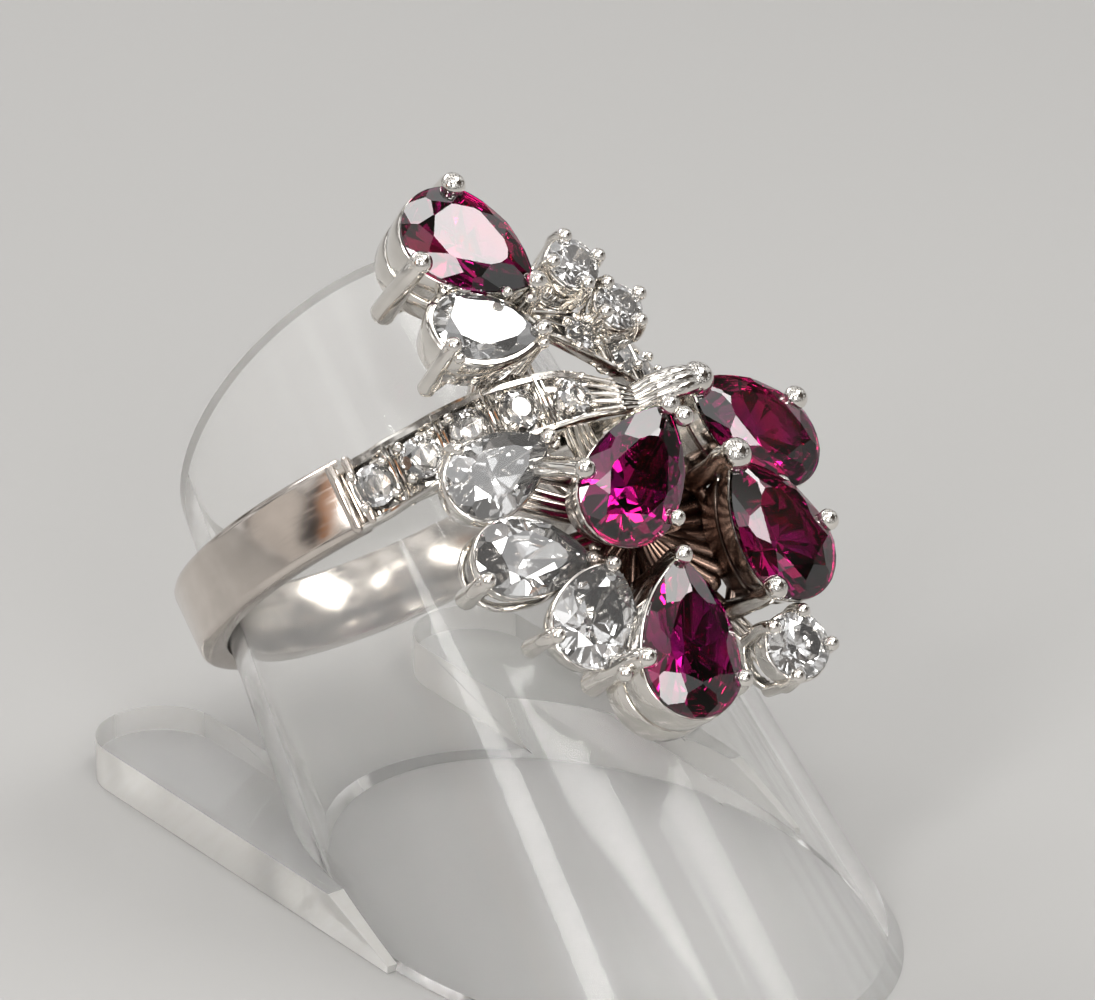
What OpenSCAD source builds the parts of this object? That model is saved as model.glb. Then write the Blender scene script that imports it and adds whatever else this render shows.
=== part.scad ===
// Bypass cluster ring with pear rubies and diamonds, shown on its clear slanted finger stand.
// Units are mm. The ring is drawn about its finger axis: y runs along the finger, z through the head.

/* [Ring] */
// Inside diameter of the finger hole
finger_d = 17.3; // [17.3:0.05:17.5]
// Width of the plain band along the finger
band_w = 3.1; // [2.6:0.1:3.3]
// Thickness of the plain band
band_t = 1.1; // [1.0:0.05:1.3]
// Thickness of the stone-set shoulder plates
leaf_t = 1.0; // [0.9:0.05:1.1]

/* [Claws and settings] */
// Diameter of the ball on a claw of a coloured stone
claw_d = 0.94; // [0.8:0.02:1.0]
// Diameter of a claw's stem
stem_d = 0.74; // [0.6:0.02:0.8]
// Reach of the setting walls outside the stone's edge
wall_out = 0.16; // [0.12:0.02:0.20]
// Thickness of the upper setting walls
wall_t = 0.28; // [0.24:0.02:0.32]

/* [Stones] */
// Clearance between each stone and the metal round it
stone_gap = 0.04; // [0.03:0.01:0.06]
// Thickness of the stones' girdles
girdle_t = 0.12; // [0.08:0.01:0.16]
// Width of a stone's table as a share of its size
table_share = 0.58; // [0.5:0.01:0.62]

/* [Stand] */
// Slope of the stand's finger above the table, in degrees
lean = 45; // [43:1:47]
// Height of the ring's centre above the table
ring_h = 11.4; // [11.2:0.1:12.4]
// Turn of the ring round the stand's finger, in degrees
roll = 19; // [15:1:23]
// Wall of the stand's finger
stand_wall = 1.2; // [1.0:0.1:1.4]
// Thickness of the stand's two flat feet
foot_t = 1.8; // [1.5:0.1:2.0]
// Width of each foot
foot_w = 5.2; // [4.6:0.1:5.6]

/* [Hidden] */

finger_r = finger_d / 2;
// Shift that puts the whole piece over the middle of its footprint
centre_x = 0.47;
centre_y = 9.05;

// The stand's finger widens towards its foot; its radius at height y along the finger
taper = 0.10;
function stand_r(y) = finger_r - 0.06 - taper * (y + band_w / 2);

// Centre x, y, z; tilt about x, tilt about y, spin; length; width; depth of the setting
rubies = [
    [-6.55, 5.90, 13.75, -3, -24, -52, 5.8, 4.1, 3.6],
    [-4.50, -4.85, 14.75, 13, -27, 44, 6.0, 4.2, 3.6],
    [3.80, -3.65, 14.70, 1, -12, 131, 6.2, 4.3, 2.8],
    [2.05, -8.05, 14.85, 8, -13, 106, 6.2, 4.3, 2.8],
    [-4.75, -11.45, 13.80, 6, -20, 72, 6.5, 4.2, 3.6]];
pears = [
    [-6.98, 2.68, 13.14, -10, -18, -22, 4.5, 3.1, 2.5],
    [-7.50, -2.46, 11.14, 3, -29, 13, 4.8, 3.2, 2.2],
    [-7.52, -6.12, 10.80, 6, -30, -21, 4.8, 3.2, 2.2],
    [-6.80, -9.20, 11.80, 10, -28, 51, 4.3, 3.4, 2.3]];
// Which of a pear diamond's two side claws there are, left then right, its point being forward
pear_claws = [[1, 1], [1, 0], [0, 1], [1, 1]];
rounds = [
    [-1.50, 4.45, 14.10, -5, -14, -14, 2.2, 2.2, 1.9],
    [-0.10, 2.35, 14.20, -5, -14, -14, 2.0, 2.0, 1.8],
    [1.75, -12.55, 13.50, 9, -21, -16, 2.7, 2.7, 2.2]];

// The stand's mouth: its height along the finger, and the slope of its cut
mouth_y = 5.8;
mouth_slope = 21;
// The feet: how far out their sides lie, and their reach back and forward from under the ring's centre
foot_out = 10.5;
foot_back = 9.1;
foot_front = 13;
// Where the feet's front ends start to slope down to the table, and the slope
foot_slope_y = -9;
foot_slope = 20.6;

// The thin rail round the finger under the head: thickness, width, half of its arc, inner radius
rail_t = 0.64;
rail_w = 2.4;
rail_turn = 64;
rail_r = finger_r + 0.06;
// Width of the posts that stand on the rail
post_w = 0.9;
// Degrees by which the band runs on into each shoulder
lap = 1.7;
// Radius at which a raised bar crosses the band there
bar_r = 9.85;
// Turn about the finger at which the plain band gives way to the stone-set shoulders
join_turn = 62.5;
// The shoulders' centre lines: turn about the finger, y, radius of the top face, half width
near_path = [
    [-join_turn, -0.20, 9.90, 1.40], [-55.0, -0.25, 10.20, 1.40], [-49.0, -0.15, 10.40, 1.40],
    [-43.0, -0.10, 10.65, 1.38], [-37.5, 0.00, 10.90, 1.36], [-32.0, 0.05, 11.20, 1.34],
    [-27.0, 0.05, 11.55, 1.32], [-22.5, 0.00, 11.90, 1.28], [-17.0, -0.15, 12.35, 1.22],
    [-12.5, -0.35, 12.75, 1.10], [-8.0, -0.75, 13.10, 0.85], [-4.5, -1.15, 13.40, 0.55],
    [-1.0, -1.60, 13.65, 0.25]];
far_path = [
    [join_turn, 0.00, 9.90, 1.40], [55.0, 0.00, 10.15, 1.40], [49.0, 0.00, 10.40, 1.40],
    [43.0, 0.00, 10.65, 1.40], [37.0, 0.00, 10.95, 1.40], [31.0, 0.00, 11.25, 1.40],
    [25.0, 0.00, 11.60, 1.38], [18.5, 0.05, 12.00, 1.36], [12.5, 0.15, 12.35, 1.32],
    [6.5, 0.45, 12.70, 1.28], [1.5, 0.95, 12.95, 1.22], [-3.5, 1.60, 13.05, 1.10], [-9.0, 2.35, 13.00, 0.85],
    [-14.0, 3.00, 12.90, 0.50]];
// Shoulder stones: turn, y, radius of the girdle, diameter
shoulder_stones = [
    [-55.0, -0.25, 10.06, 1.70], [-43.2, -0.10, 10.50, 1.70], [-32.0, 0.05, 11.06, 1.70],
    [-22.3, 0.00, 11.77, 1.65], [-12.6, -0.34, 12.60, 1.50],
    [55.0, 0.00, 10.01, 1.70], [43.0, 0.00, 10.51, 1.70], [31.5, 0.00, 11.08, 1.70],
    [20.5, 0.03, 11.75, 1.70], [10.8, 0.20, 12.31, 1.65], [2.0, 0.90, 12.79, 1.55],
    [-6.2, 1.96, 12.90, 1.35]];

// Outline of a pear with its point along +x
function pear_side(l, w, u) = let(
        r = w / 2, d = l - r, big = (d * d + r * r) / (2 * r), b = asin(d / big) * u)
    [r - l / 2 + big * sin(b), big * cos(b) - (big - r)];
function pear_pts(l, w, back, side) = let(r = w / 2) concat(
    [for (i = [0 : back]) let(a = 90 + 180 * i / back) [r - l / 2 + r * cos(a), r * sin(a)]],
    [for (i = [1 : side - 1]) let(p = pear_side(l, w, i / side)) [p[0], -p[1]]],
    [[l / 2, 0]],
    [for (i = [side - 1 : -1 : 1]) pear_side(l, w, i / side)]);
function round_pts(d, n) = [for (i = [0 : n - 1]) let(a = 360 * (i + 0.5) / n)
    [d / 2 * cos(a), d / 2 * sin(a)]];
function table_pts(l, w) = l > w ? pear_pts(l, w, 4, 2) : round_pts(l, 8);
function outline(l, w) = l > w ? pear_pts(l, w, 5, 3) : round_pts(l, 10);
function wall_line(l, w, back, side) = l > w ? pear_pts(l, w, back, side) : round_pts(l, 2 * back - 2);
function on_turn(a, y, r) = [r * sin(a), y, r * cos(a)];

module in_place(s) {
    translate([s[0], s[1], s[2]]) rotate([s[3], s[4], 0]) rotate([0, 0, s[5]]) children();
}

module at_turn(a, y, r) {
    rotate([0, a, 0]) translate([0, y, r]) children();
}

// A cut stone: flat table, crown facets, thin girdle, pavilion down to a small culet
module cut_stone(l, w, grow) {
    lg = l + 2 * grow;
    wg = w + 2 * grow;
    crown = 0.15 * w + grow;
    depth = 0.43 * w + grow;
    hull() {
        translate([-0.02 * l, 0, crown - 0.01])
            linear_extrude(0.01)
                polygon(table_pts(l * table_share, w * table_share));
        translate([0, 0, -girdle_t / 2 - grow])
            linear_extrude(girdle_t + 2 * grow)
                polygon(outline(lg, wg));
        translate([l > w ? -0.08 * l : 0, 0, -depth])
            linear_extrude(0.01)
                polygon(round_pts(0.12, 4));
    }
}

module ring_place() {
    translate([0, 0, ring_h]) rotate([lean, 0, 0]) rotate([0, roll, 0]) children();
}

module shoulder_stone(i, grow) {
    s = shoulder_stones[i];
    at_turn(s[0], s[1], s[2]) cut_stone(s[3], s[3], grow);
}

// The room cut in the metal for one shoulder stone, open to the top
module shoulder_seat(s, gap) {
    r = (s[3] / 2 + gap) / cos(22.5);
    depth = 0.43 * s[3];
    at_turn(s[0], s[1], s[2]) rotate([0, 0, 22.5]) {
        translate([0, 0, -girdle_t / 2 - gap]) cylinder(h = 1, r = r, $fn = 8);
        translate([0, 0, -depth - 0.12]) cylinder(h = depth + 0.04, r1 = 0.1, r2 = r, $fn = 8);
    }
}

module all_stones(grow) {
    for (s = rubies) in_place(s) cut_stone(s[6], s[7], grow);
    for (s = pears) in_place(s) cut_stone(s[6], s[7], grow);
    for (s = rounds) in_place(s) cut_stone(s[6], s[7], grow);
    for (s = shoulder_stones) shoulder_seat(s, grow);
}

// A rounded bar between two points
module bar(p, q, d1, d2) {
    hull() {
        translate(p) sphere(d = d1, $fn = 6);
        translate(q) sphere(d = d2, $fn = 6);
    }
}

// A claw: a domed head on a tapering stem
module claw(p, q, ball, d) {
    hull() {
        translate([p[0], p[1], p[2] - ball * 0.15])
            cylinder(h = ball * 0.55, d1 = ball, d2 = ball * 0.6, $fn = 6);
        translate(q) cylinder(h = 0.05, d = d, $fn = 5);
    }
}

// One band of a setting: a tapered wall round the stone's outline
module setting_wall(l, w, top, bottom, s1, s2, thick, back, side) {
    out = 2 * wall_out;
    in = 2 * (wall_out - thick);
    translate([0, 0, top]) mirror([0, 0, 1])
        linear_extrude(top - bottom, scale = s2 / s1)
            difference() {
                polygon(wall_line((l + out) * s1, (w + out) * s1, back, side));
                polygon(wall_line((l + in) * s1, (w + in) * s1, back, side));
            }
}

// Flat spider that joins the feet of a setting's claws
module spider(feet, z, d) {
    translate([0, 0, z])
        linear_extrude(d)
            for (f = feet) hull() {
                circle(d = d, $fn = 6);
                translate([f[0], f[1]]) circle(d = d, $fn = 4);
            }
}

// Setting of a pear: two walls with a slot between, three claws, and a three-armed base
module pear_setting(l, w, depth, ball, sides) {
    x0 = w / 2 - l / 2 - 0.13 * w;
    y0 = w / 2 * 0.97 + 0.06;
    left = sides[0] == 1 ? [[x0, y0]] : [];
    right = sides[1] == 1 ? [[x0, -y0]] : [];
    tops = concat(left, right, [[l / 2 - 0.02, 0]]);
    setting_wall(l, w, -0.26, -0.26 - depth * 0.34, 1, 0.95, wall_t, 5, 3);
    setting_wall(l, w, -0.34 - depth * 0.42, -0.12 - depth * 0.84, 0.93, 0.86, 0.55, 4, 2);
    for (t = tops) claw([t[0], t[1], 0.34], [t[0] * 0.84, t[1] * 0.84, -depth], ball, stem_d);
    spider(tops * 0.84, -depth - 0.3, 0.6);
}

// Setting of a round stone: a wall under the girdle and four claws on a small cross
module round_setting(d, depth, ball) {
    r = d / 2 + 0.08;
    foot = r * 0.72;
    spots = [for (a = [45 : 90 : 315]) [cos(a), sin(a)]];
    setting_wall(d, d, -0.24, -0.24 - depth * 0.36, 1, 0.92, wall_t, 6, 0);
    for (c = spots) claw([r * c[0], r * c[1], 0.26], [foot * c[0], foot * c[1], -depth], ball, 0.52);
    translate([0, 0, -depth - 0.2]) cylinder(h = 0.45, r = foot + 0.1, $fn = 8);
}

// A curved strip through the first rows of a shoulder's path, between two depths under its top face
function strip_row(p, top, bottom, half) = [
    on_turn(p[0], p[1] - half, p[2] + bottom), on_turn(p[0], p[1] + half, p[2] + bottom),
    on_turn(p[0], p[1] + half, p[2] + top), on_turn(p[0], p[1] - half, p[2] + top)];

module strip(path, last, top, bottom, inset) {
    way = path[last][0] > path[0][0] ? -1 : 1;
    sides = [for (i = [0 : last - 1]) for (k = [0 : 3]) let(a = 4 * i + k, b = 4 * i + (k + 1) % 4)
        each [[a, b, b + 4], [a, b + 4, a + 4]]];
    n = 4 * last;
    ends = [[2, 1, 0], [3, 2, 0], [n, n + 1, n + 2], [n, n + 2, n + 3]];
    polyhedron(
        points = [for (i = [0 : last]) each strip_row(path[i], top, bottom, way * (path[i][3] - inset))],
        faces = concat(sides, ends));
}

// A shoulder's plate; the rows of the channel in its top face lie halfway between the plate's own rows
module leaf(path, set_rows) {
    between = [for (i = [0 : set_rows]) (path[i] + path[i + 1]) / 2];
    difference() {
        strip(path, len(path) - 1, 0, -leaf_t, 0);
        strip(between, set_rows, 0.6, -0.16, 0.30);
    }
}

// Posts between a shoulder's plate and the finger rail, with open windows between them
module posts(path, rows) {
    for (i = rows) {
        p = path[i];
        at_turn(p[0], p[1] * 0.5, 0) translate([-post_w / 2, 0.15 - rail_w / 2, rail_r + rail_t / 2])
            cube([post_w, rail_w - 0.3, p[2] - leaf_t / 2 - rail_r - rail_t / 2]);
    }
}

module shank() {
    w = band_w / 2;
    o = finger_r + band_t;
    edge = 0.28;
    rotate([-90, 0, 0]) rotate([0, 0, join_turn - lap - 90])
        rotate_extrude(angle = 360 - 2 * (join_turn - lap), $fn = 56)
            polygon([[finger_r, -w], [o - edge, -w], [o, edge - w], [o, w - edge], [o - edge, w], [finger_r, w]]);
}

module finger_rail() {
    rotate([90, 0, 0]) rotate([0, 0, 90 - rail_turn])
        rotate_extrude(angle = 2 * rail_turn, $fn = 56)
            translate([rail_r, -rail_w / 2]) square([rail_t, rail_w]);
}

// Arms from the head's two roots to the feet of the settings
module arms() {
    low = [-1.2, -5.6, 11.2];
    high = [-3.4, 3.2, 11.6];
    bar(on_turn(0, -0.7, 9.6), low, 1.3, 1.7);
    bar(on_turn(-20, -0.6, 9.6), low, 1.2, 1.5);
    bar(on_turn(-9, 0.8, 9.6), high, 1.2, 1.3);
    bar(on_turn(-27, 0.6, 9.8), high, 1.2, 1.2);
    for (i = [1 : 4]) in_arm(rubies[i], low, 1.0);
    for (i = [1 : 3]) in_arm(pears[i], low, 0.9);
    in_arm(rounds[2], low, 0.9);
    in_arm(rubies[0], high, 1.0);
    in_arm(pears[0], high, 0.9);
    in_arm(rounds[0], high, 0.8);
    in_arm(rounds[1], high, 0.8);
}

function turned(v, ax, by) = let(
        y = v[1] * cos(ax) - v[2] * sin(ax), z = v[1] * sin(ax) + v[2] * cos(ax))
    [v[0] * cos(by) + z * sin(by), y, z * cos(by) - v[0] * sin(by)];
function root_of(s) = [s[0], s[1], s[2]] + turned([0, 0, -s[8] - 0.1], s[3], s[4]);

module in_arm(s, hub, d) {
    bar(hub, root_of(s), d, d * 0.9);
}

module ring_metal() {
    shank();
    finger_rail();
    leaf(near_path, 10);
    leaf(far_path, 11);
    posts(near_path, [2, 4, 6, 8]);
    posts(far_path, [2, 4, 6, 8]);
    // a raised bar across the band where each shoulder starts
    for (a = [-join_turn, join_turn]) bar(on_turn(a, -1.35, bar_r), on_turn(a, 1.15, bar_r), 0.5, 0.5);
    for (s = rubies) in_place(s) pear_setting(s[6], s[7], s[8], claw_d, [1, 1]);
    for (i = [0 : len(pears) - 1]) let(s = pears[i])
        in_place(s) pear_setting(s[6], s[7], s[8], claw_d * 0.8, pear_claws[i]);
    for (s = rounds) in_place(s) round_setting(s[6], s[8], claw_d * 0.68);
    // the large claw on the third ruby's point, carried on an arm from the near shoulder's tip
    in_place(rubies[2]) translate([rubies[2][6] / 2 - 0.05, 0, 0.35]) sphere(d = 1.35, $fn = 12);
    bar(on_turn(-1.5, -1.55, 13.3), [1.6, -1.15, 14.7], 0.9, 1.1);
    arms();
}

module ring_mount() {
    color("#d4d2cd")
        ring_place()
            difference() {
                ring_metal();
                all_stones(stone_gap);
            }
}

module ruby(i) {
    color("#a3123f") ring_place() in_place(rubies[i]) cut_stone(rubies[i][6], rubies[i][7], 0);
}

module pear_diamond(i) {
    color("#e9eef2") ring_place() in_place(pears[i]) cut_stone(pears[i][6], pears[i][7], 0);
}

module round_diamond(i) {
    color("#e9eef2") ring_place() in_place(rounds[i]) cut_stone(rounds[i][6], rounds[i][7], 0);
}

module shoulder_diamond(i) {
    color("#e9eef2") ring_place() shoulder_stone(i, 0);
}

// The stand: a leaning, widening finger open at both ends, with two flat feet at the back
module stand_cone(inset) {
    rotate([-90, 0, 0]) translate([0, 0, -34])
        cylinder(h = 48, r1 = stand_r(-34) - inset, r2 = stand_r(14) - inset, $fn = 96);
}

module foot(side) {
    r = foot_w / 2;
    translate([side * (foot_out - r), 0, 0])
        difference() {
            union() {
                translate([-r, -foot_front, 0]) cube([foot_w, foot_front + foot_back - r, foot_t]);
                translate([0, foot_back - r, 0]) cylinder(h = foot_t, r = r, $fn = 64);
            }
            translate([-r - 1, foot_slope_y, foot_t]) rotate([foot_slope, 0, 0])
                translate([0, -8, 0]) cube([foot_w + 2, 8, 4]);
        }
}

module display_stand() {
    color("#dfe6ea")
        difference() {
            union() {
                translate([0, 0, ring_h]) rotate([lean, 0, 0]) stand_cone(0);
                foot(-1);
                foot(1);
            }
            translate([0, 0, ring_h]) rotate([lean, 0, 0]) stand_cone(stand_wall);
            translate([-30, -60, -40]) cube([60, 90, 40]);
            translate([0, 0, ring_h]) rotate([lean, 0, 0]) translate([0, mouth_y, 0])
                rotate([-mouth_slope, 0, 0]) translate([-20, 0, -30]) cube([40, 40, 60]);
        }
}

module whole() {
    translate([-centre_x, centre_y, 0]) children();
}

whole() display_stand();
whole() ring_mount();
whole() ruby(0);  // ruby_1
whole() ruby(1);  // ruby_2
whole() ruby(2);  // ruby_3
whole() ruby(3);  // ruby_4
whole() ruby(4);  // ruby_5
whole() pear_diamond(0);  // pear_diamond_1
whole() pear_diamond(1);  // pear_diamond_2
whole() pear_diamond(2);  // pear_diamond_3
whole() pear_diamond(3);  // pear_diamond_4
whole() round_diamond(0);  // round_diamond_1
whole() round_diamond(1);  // round_diamond_2
whole() round_diamond(2);  // round_diamond_3
whole() shoulder_diamond(0);  // shoulder_diamond_1
whole() shoulder_diamond(1);  // shoulder_diamond_2
whole() shoulder_diamond(2);  // shoulder_diamond_3
whole() shoulder_diamond(3);  // shoulder_diamond_4
whole() shoulder_diamond(4);  // shoulder_diamond_5
whole() shoulder_diamond(5);  // shoulder_diamond_6
whole() shoulder_diamond(6);  // shoulder_diamond_7
whole() shoulder_diamond(7);  // shoulder_diamond_8
whole() shoulder_diamond(8);  // shoulder_diamond_9
whole() shoulder_diamond(9);  // shoulder_diamond_10
whole() shoulder_diamond(10);  // shoulder_diamond_11
whole() shoulder_diamond(11);  // shoulder_diamond_12
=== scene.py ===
"""Bypass cluster ring with pear-cut rubies and diamonds on its clear display stand."""

import math

import bmesh
import bpy
from mathutils import Matrix, Vector


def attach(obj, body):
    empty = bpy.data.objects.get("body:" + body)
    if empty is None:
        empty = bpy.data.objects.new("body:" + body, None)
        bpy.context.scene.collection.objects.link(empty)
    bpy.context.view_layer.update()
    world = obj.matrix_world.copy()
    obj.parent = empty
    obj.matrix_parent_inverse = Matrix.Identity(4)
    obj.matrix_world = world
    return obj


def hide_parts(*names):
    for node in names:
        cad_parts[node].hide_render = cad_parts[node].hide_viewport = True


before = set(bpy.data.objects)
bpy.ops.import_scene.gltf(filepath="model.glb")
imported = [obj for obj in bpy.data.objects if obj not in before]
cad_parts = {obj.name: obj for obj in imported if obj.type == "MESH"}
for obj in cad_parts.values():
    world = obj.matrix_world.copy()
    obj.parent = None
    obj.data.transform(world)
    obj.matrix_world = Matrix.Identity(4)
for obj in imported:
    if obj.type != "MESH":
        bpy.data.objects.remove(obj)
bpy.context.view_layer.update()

bl_info = {
    "name": "Ruby cluster ring on display stand",
    "version": (1, 0, 0),
    "blender": (4, 5, 0),
    "location": "View3D > Sidebar > Ruby Ring",
    "description": "Builds a white gold bypass ring with rubies and diamonds on a clear stand",
    "category": "Add Mesh",
}

# Shapes are worked out in millimetres about the finger axis: y runs along the finger, z through the head
RING_HEIGHT = 11.4
TO_PART = Matrix.Translation((-0.47, 9.05, RING_HEIGHT)) @ Matrix.Rotation(math.radians(45), 4, "X")
RING_PLACE = TO_PART @ Matrix.Rotation(math.radians(19), 4, "Y")
STAND_PLACE = Matrix.Translation((-0.47, 9.05, 0))
MM = Matrix.Scale(0.001, 4)

# Radius of the finger hole, turn at which a shoulder meets the plain band, and how far the two lap
FINGER_R = 8.65
JOIN_TURN = 62.5
LAP = 1.7

# The stand's finger: gap to the ring, taper, where the taper starts, wall, place and tilt of its mouth
STAND_GAP, STAND_TAPER, TAPER_Y, STAND_WALL = 0.06, 0.10, -1.55, 0.7
MOUTH_Y, MOUTH_TILT = 5.8, -21
# Its feet: how far apart, half width, height, back and front end, and the slope at the front
FOOT_APART, FOOT_HALF, FOOT_HIGH = 7.9, 2.6, 1.8
FOOT_BACK, FOOT_FRONT, SLOPE_Y, SLOPE_WAY = 9.1, -13.0, -9, (0, -1.5, 4)
EDGE_BEVEL = 0.18

# Centre x, y, z; tilt about x, tilt about y, spin; length; width; depth of the setting
RUBIES = (
    (-6.55, 5.90, 13.75, -3, -24, -52, 5.8, 4.1, 3.6),
    (-4.50, -4.85, 14.75, 13, -27, 44, 6.0, 4.2, 3.6),
    (3.80, -3.65, 14.70, 1, -12, 131, 6.2, 4.3, 2.8),
    (2.05, -8.05, 14.85, 8, -13, 106, 6.2, 4.3, 2.8),
    (-4.75, -11.45, 13.80, 6, -20, 72, 6.5, 4.2, 3.6),
)
PEARS = (
    (-6.98, 2.68, 13.14, -10, -18, -22, 4.5, 3.1, 2.5),
    (-7.50, -2.46, 11.14, 3, -29, 13, 4.8, 3.2, 2.2),
    (-7.52, -6.12, 10.80, 6, -30, -21, 4.8, 3.2, 2.2),
    (-6.80, -9.20, 11.80, 10, -28, 51, 4.3, 3.4, 2.3),
)
# Walls of a setting: height of the rim, of the foot, step out at the rim, at the foot, thickness
RUBY_WALLS = ((-0.14, -1.72, 0.07, 0.06, 0.34), (-1.86, -3.30, 0.06, 0.02, 0.34))
TUCKED_WALLS = ((-0.14, -1.30, 0.02, -0.25, 0.28), (-1.44, -2.80, -0.28, -0.60, 0.30))
CUP_WALLS = ((-0.10, -1.55, 0.10, -0.12, 0.28),)
OPEN_WALLS = ((-0.10, -1.05, 0.07, -0.06, 0.26), (-2.05, -2.35, 0.02, 0.02, 0.34))
BROAD_WALLS = ((-0.02, -1.90, 0.30, 0.02, 0.42),)
SETTING_WALLS = {
    "ruby": (RUBY_WALLS, TUCKED_WALLS, TUCKED_WALLS, TUCKED_WALLS, RUBY_WALLS),
    "pear": (BROAD_WALLS, CUP_WALLS, OPEN_WALLS, CUP_WALLS),
}
# Claws of a setting: angle about the head of the pear from its point, diameter of the claw's head, of its
# stem, and how far out its foot stands
SETTING_CLAWS = {
    "ruby": (
        ((115, 1.00, 0.84, 0.20), (-105, 0.94, 0.86, 0.42), (0, 0.80, 0.66, 0.16)),
        ((92, 0.88, 0.80, 1.10), (-90, 0.70, 0.56, 0.05), (0, 0.80, 0.66, -0.20)),
        ((115, 0.78, 0.64, 0.00), (-95, 1.00, 0.76, 0.00)),
        ((115, 1.00, 0.74, 0.00), (-90, 0.90, 0.70, 0.00), (0, 1.34, 0.80, -0.20)),
        ((85, 0.84, 0.84, 0.42), (-105, 0.76, 0.62, 0.05), (0, 0.78, 0.60, -0.20)),
    ),
    "pear": (
        ((95, 0.62, 0.50, 0.05), (-130, 0.70, 0.62, 0.22), (0, 0.76, 0.56, 0.00)),
        ((0, 0.70, 0.56, -0.10), (100, 0.56, 0.50, -0.20)),
        ((0, 0.68, 0.56, -0.10), (-140, 0.66, 0.74, 0.16)),
        ((0, 0.66, 0.54, -0.10), (125, 0.66, 0.66, 0.12), (-135, 0.74, 0.60, -0.20),
         (-75, 0.62, 0.50, -0.20)),
    ),
}
# Extra beads of solder and small claws: kind, number of the stone, x, y and z in its setting, diameter
EXTRA_BEADS = (
    ("ruby", 2, 2.85, -0.72, 0.26, 0.84), ("ruby", 5, -1.45, 2.75, -0.40, 0.72),
    ("ruby", 1, 2.10, -1.10, 0.20, 0.46), ("ruby", 1, 3.05, -0.42, -0.35, 0.52),
    ("pear", 1, 2.30, -0.45, -0.10, 0.50), ("pear", 1, -1.40, -1.55, -0.05, 0.50),
    ("pear", 4, -1.35, 1.60, -0.10, 0.50), ("pear", 3, 2.45, 0.42, 0.05, 0.50),
    ("pear", 2, 2.50, -0.35, -0.05, 0.46),
)
# Where a round stone's four claws stand about it
ROUND_CLAWS = ((100, 10, -80, -175), (115, 25, -55, -155), (80, 0, -105, 150))
ROUNDS = (
    (-1.50, 4.45, 14.10, -5, -14, -14, 2.2, 2.2, 1.9),
    (-0.10, 2.35, 14.20, -5, -14, -14, 2.0, 2.0, 1.8),
    (1.75, -12.55, 13.50, 9, -21, -16, 2.7, 2.7, 2.2),
)

# Cut of the stones, as shares of their width: table, table of the small ones, crown, pavilion
TABLE, SMALL_TABLE, CROWN, PAVILION = 0.585, 0.50, 0.15, 0.43
SMALL_WIDTH = 1.8
GIRDLE = 0.12
# Stones whose table takes more than the usual share
WIDE_TABLES = {"pear_diamond_1": 0.72}
# Facets above and below the girdle, eight of each: turn, and steepness next to that of the main facet
STAR_TURN = 22.5
CROWN_FACETS = ((0, 1.0), (STAR_TURN, 0.60), (11.25, 1.28), (-11.25, 1.28))
PAVILION_FACETS = ((0, 1.0), (11.25, 1.07), (-11.25, 1.07), (22.5, 1.02))

# Softboxes: name, way from the ring, way of the long side, distance, width and height, which light, share
SOFTBOXES = (
    ("main_softbox", (0.482, -0.274, 0.832), (0.12, 0.18, 0), 0.25, (0.125, 0.075), "key", 1.0),
    ("left_softbox", (-0.715, -0.321, 0.622), (-0.30, 0.72, 0), 0.25, (0.034, 0.11), "fill", 0.8),
    ("low_softbox", (-0.30, -0.90, 0.62), (0.90, -0.30, 0), 0.26, (0.05, 0.05), "fill", 0.4),
    ("near_softbox", (-0.16, -0.42, 0.88), (0.90, -0.30, 0), 0.26, (0.09, 0.03), "fill", 0.5),
    ("back_softbox", (-0.10, 0.75, 0.65), (0.75, 0.10, 0), 0.26, (0.16, 0.06), "fill", 1.0),
)
# Small lamps, each where one crown facet of a ruby mirrors it: way from the ring, size, share of the light
FACET_LAMPS = (
    ((-0.022, 0.240, 0.971), 0.018, 0.020), ((-0.462, -0.806, 0.369), 0.018, 0.026),
    ((0.354, -0.054, 0.934), 0.020, 0.026), ((-0.297, -0.658, 0.692), 0.018, 0.018),
    ((0.137, -0.740, 0.658), 0.018, 0.026), ((0.066, -0.706, 0.706), 0.016, 0.018),
    ((0.177, -0.020, 0.984), 0.018, 0.020), ((-0.272, -0.912, 0.308), 0.018, 0.026),
)
LAMP_CENTRE = Vector((-0.00047, 0.00905, 0.0140))
LAMP_COLOUR = (1.0, 0.988, 0.97)
# Cards that the band mirrors: name, turn where it does, half width, distance in millimetres, colour
CARDS = (
    ("dark_card", -70.6, 0.010, 120, (0.03, 0.03, 0.035)),
    ("amber_card", -67.2, 0.010, 120, (0.62, 0.27, 0.10)),
    ("pale_card", -77.0, 0.052, 126, (0.86, 0.82, 0.79)),
)
CARD_HALF_HEIGHT = 0.03
# Camera: the way it looks, its right-hand way, distance and shift in millimetres, lens and sensor
LOOKS, RIGHTWARDS = Vector((0.539, 0.7285, -0.4226)).normalized(), Vector((0.8039, -0.5948, 0)).normalized()
CAMERA_AWAY, CAMERA_RIGHT, CAMERA_UP = 350, 5.5, 1.0
LENS, SENSOR = 287.67, 36

# Painted shade with brown tarnish between the settings, darkest round their middle: its middle, how it
# stretches, its colour
SHADE_AND_TARNISH_MIDDLE, SHADE_AND_TARNISH_STRETCH = (-1.0, -6.4, 11.6), (0.58, 0.66, 1.2)
SHADE_AND_TARNISH_COLOUR = (0.17, 0.112, 0.088, 1)
# Share of the white gold's colour that the band keeps: painted shade, darker and warmer than the rest of the
# gold
BAND_PAINTED_SHADE = (0.84, 0.80, 0.78)

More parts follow.
